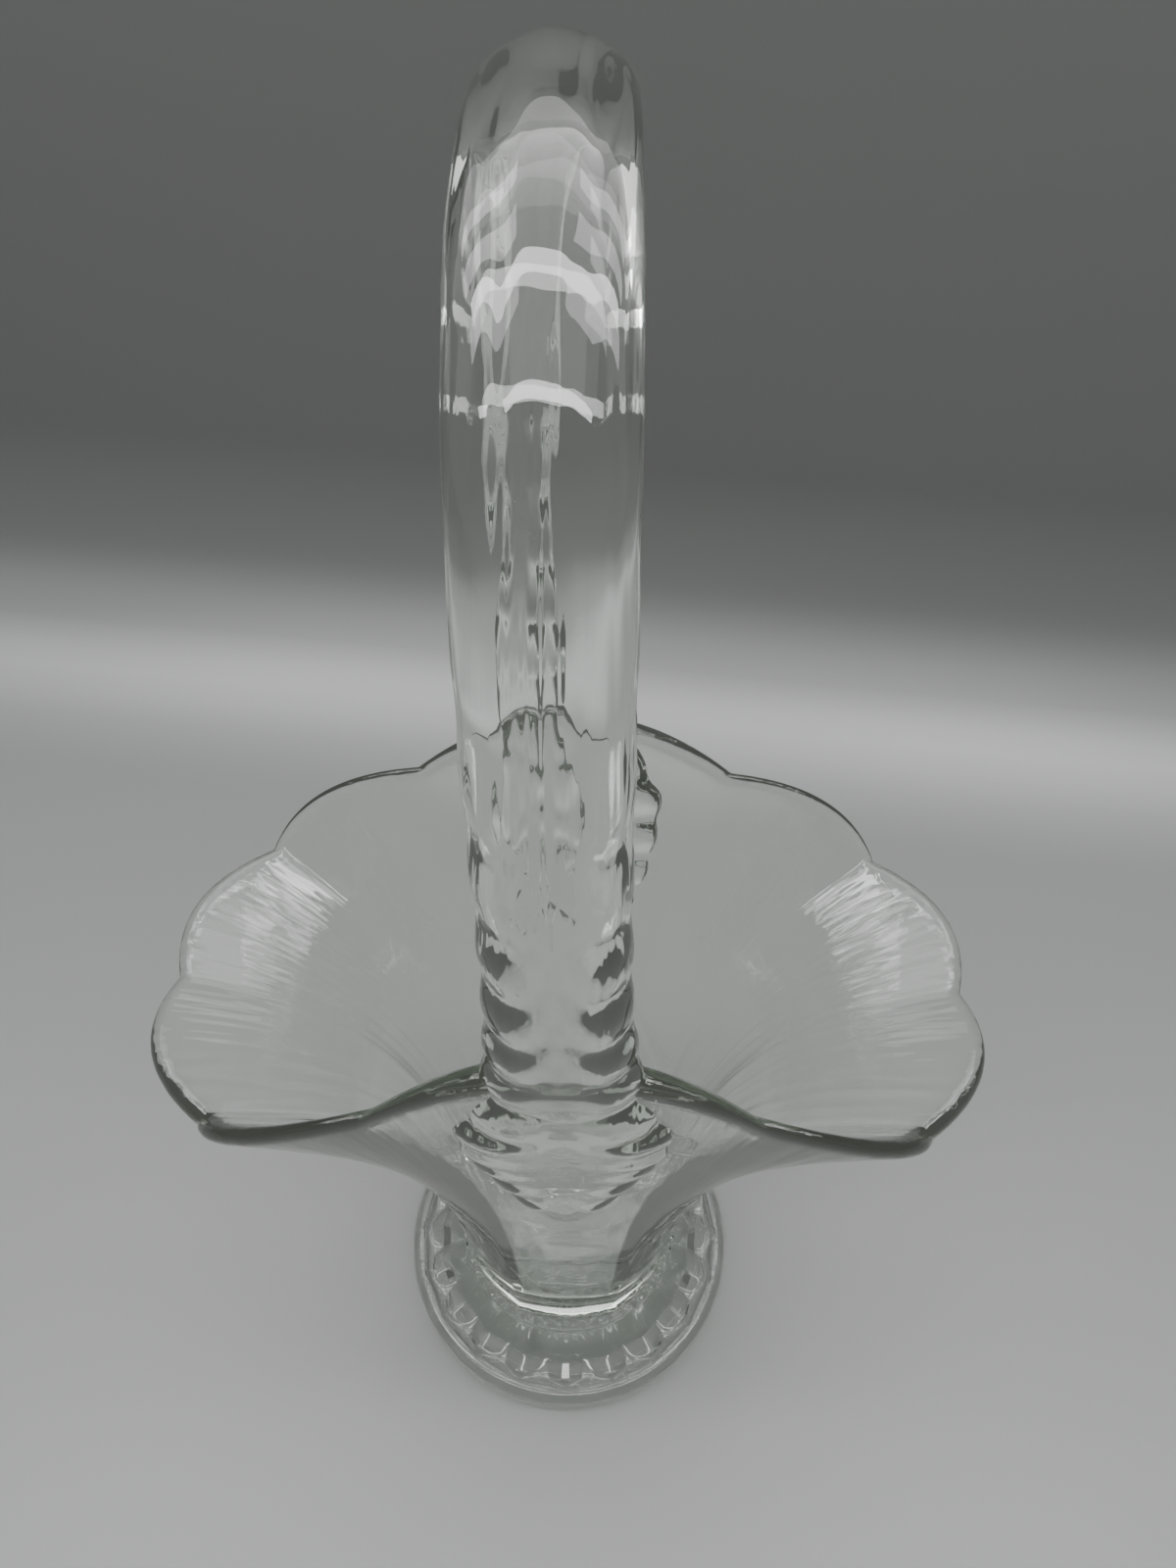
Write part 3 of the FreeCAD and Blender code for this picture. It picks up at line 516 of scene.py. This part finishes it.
sweep_turn = np.linspace(0, math.pi / 2, SWEEP_STEPS)
sweep = np.stack([SWEEP_START + SWEEP_RADIUS * np.sin(sweep_turn),
                  SWEEP_RADIUS * (1 - np.cos(sweep_turn))], axis=1)
sheet_profile = [(SHEET_FRONT, 0.0), *sweep, (SWEEP_START + SWEEP_RADIUS, SHEET_TOP)]
sheet_points = [(x * math.cos(SHEET_TURN) - y * math.sin(SHEET_TURN),
                 x * math.sin(SHEET_TURN) + y * math.cos(SHEET_TURN), z)
                for y, z in sheet_profile for x in (-SHEET_HALF_WIDTH, SHEET_HALF_WIDTH)]
sheet_faces = [(2 * i, 2 * i + 1, 2 * i + 3, 2 * i + 2) for i in range(len(sheet_profile) - 1)]
sheet_mesh = bpy.data.meshes.new("paper_sweep")
sheet_mesh.from_pydata(sheet_points, [], sheet_faces)
sheet_mesh.shade_smooth()
sheet = bpy.data.objects.new("paper_sweep", sheet_mesh)
bpy.context.scene.collection.objects.link(sheet)

pale_paper = bpy.data.materials.new("pale_paper")
pale_paper.use_nodes = True
paper = pale_paper.node_tree
sheet_place = add_node(paper, "ShaderNodeTexCoord", {})["Object"]
sheet_height = add_node(paper, "ShaderNodeSeparateXYZ", {"Vector": sheet_place})["Z"]
# The colour by height is painted light and shade: a bright band where the sheet starts to curve up, then
# darker up the wall.
painted_light_tone = add_node(paper, "ShaderNodeValToRGB", {"Fac": sheet_height})["Color"]
ramp = painted_light_tone.node.color_ramp
ramp.interpolation = "EASE"
for stop, grey in PAPER_LIGHT_AND_SHADE:
    mark = ramp.elements.new(stop) if stop else ramp.elements[0]
    mark.position, mark.color = stop, (*(grey * tint for tint in PAPER_TINT), 1)
ramp.elements[-1].color = PAPER_SHADED_TOP
surface = paper.nodes["Principled BSDF"]
surface.inputs["Roughness"].default_value = PAPER_ROUGHNESS
paper.links.new(painted_light_tone, surface.inputs["Base Color"])
behind = add_node(paper, "ShaderNodeNewGeometry", {})["Backfacing"]
gone = add_node(paper, "ShaderNodeBsdfTransparent", {})[0]
seen = add_node(paper, "ShaderNodeMixShader", {0: behind, 1: surface.outputs["BSDF"], 2: gone})[0]
paper.links.new(seen, paper.nodes["Material Output"].inputs["Surface"])
sheet_mesh.materials.append(pale_paper)


# Light. Two long bars, whose reflections lie across the handle, short strips at both sides, whose
# reflections lie in the flared panels, and a rear box, a ceiling and a dim room that fill in. Each
# lamp is a rectangle facing straight down: (x, y, height, width, depth, power).
LAMP_HEIGHT, CEILING_HEIGHT = 0.60, 1.3
STRIP_X, STRIP_Y, STRIP_PITCH, STRIP_WIDTH, STRIP_DEPTH, STRIP_POWER = 0.34, -0.08, 0.14, 0.36, 0.07, 0.38
ROOM_COLOUR, ROOM_STRENGTH = (0.65, 0.66, 0.65, 1), 0.32
lamps = {"front_bar": (0, -0.317, LAMP_HEIGHT, 0.9, 0.05, 2.0),
         "middle_bar": (0, -0.039, LAMP_HEIGHT, 0.9, 0.05, 2.0)}
for side, x in (("left", -STRIP_X), ("right", STRIP_X)):
    for i in range(3):
        lamps[f"side_strip_{side}_{i}"] = (x, STRIP_Y + STRIP_PITCH * i, LAMP_HEIGHT,
                                           STRIP_WIDTH, STRIP_DEPTH, STRIP_POWER)
lamps["rear_box"] = (0, 0.31, LAMP_HEIGHT, 0.9, 0.36, 1.2)
lamps["ceiling"] = (0, 0, CEILING_HEIGHT, 1.8, 1.8, 10.0)
for name, (x, y, height, width, depth, power) in lamps.items():
    data = bpy.data.lights.new(name, "AREA")
    data.shape, data.size, data.size_y, data.energy = "RECTANGLE", width, depth, power
    lamp = bpy.data.objects.new(name, data)
    bpy.context.scene.collection.objects.link(lamp)
    lamp.location = (x, y, height)
world = bpy.data.worlds.new("dim_room")
world.use_nodes = True
world.node_tree.nodes["Background"].inputs["Color"].default_value = ROOM_COLOUR
world.node_tree.nodes["Background"].inputs["Strength"].default_value = ROOM_STRENGTH
bpy.context.scene.world = world


# Camera. A phone held close above the handle's top and tilted down, in front of the basket.
CAMERA_PLACE = np.array([2.79, -108.66, 287.77]) * MM
CAMERA_YAW, CAMERA_PITCH, CAMERA_ROLL = -0.0015, 0.8096, 0.0191
IMAGE_HEIGHT, FOCAL_PIXELS, SENSOR, CLIP_START = 1600, 1100, 36.0, 0.005
view = np.array([math.sin(CAMERA_YAW) * math.cos(CAMERA_PITCH),
                 math.cos(CAMERA_YAW) * math.cos(CAMERA_PITCH), -math.sin(CAMERA_PITCH)])
right = np.array([math.cos(CAMERA_YAW), -math.sin(CAMERA_YAW), 0])
above = np.cross(right, view)
right, above = (math.cos(CAMERA_ROLL) * right + math.sin(CAMERA_ROLL) * above,
                math.cos(CAMERA_ROLL) * above - math.sin(CAMERA_ROLL) * right)
camera_data = bpy.data.cameras.new("camera")
camera_data.sensor_fit, camera_data.sensor_height = "VERTICAL", SENSOR
camera_data.lens = FOCAL_PIXELS / IMAGE_HEIGHT * SENSOR
camera_data.clip_start = CLIP_START
camera = bpy.data.objects.new("camera", camera_data)
bpy.context.scene.collection.objects.link(camera)
facing = np.stack([right, above, -view], axis=1)
camera.matrix_world = Matrix([[*row, at] for row, at in zip(facing, CAMERA_PLACE)] + [[0, 0, 0, 1]])
bpy.context.scene.camera = camera
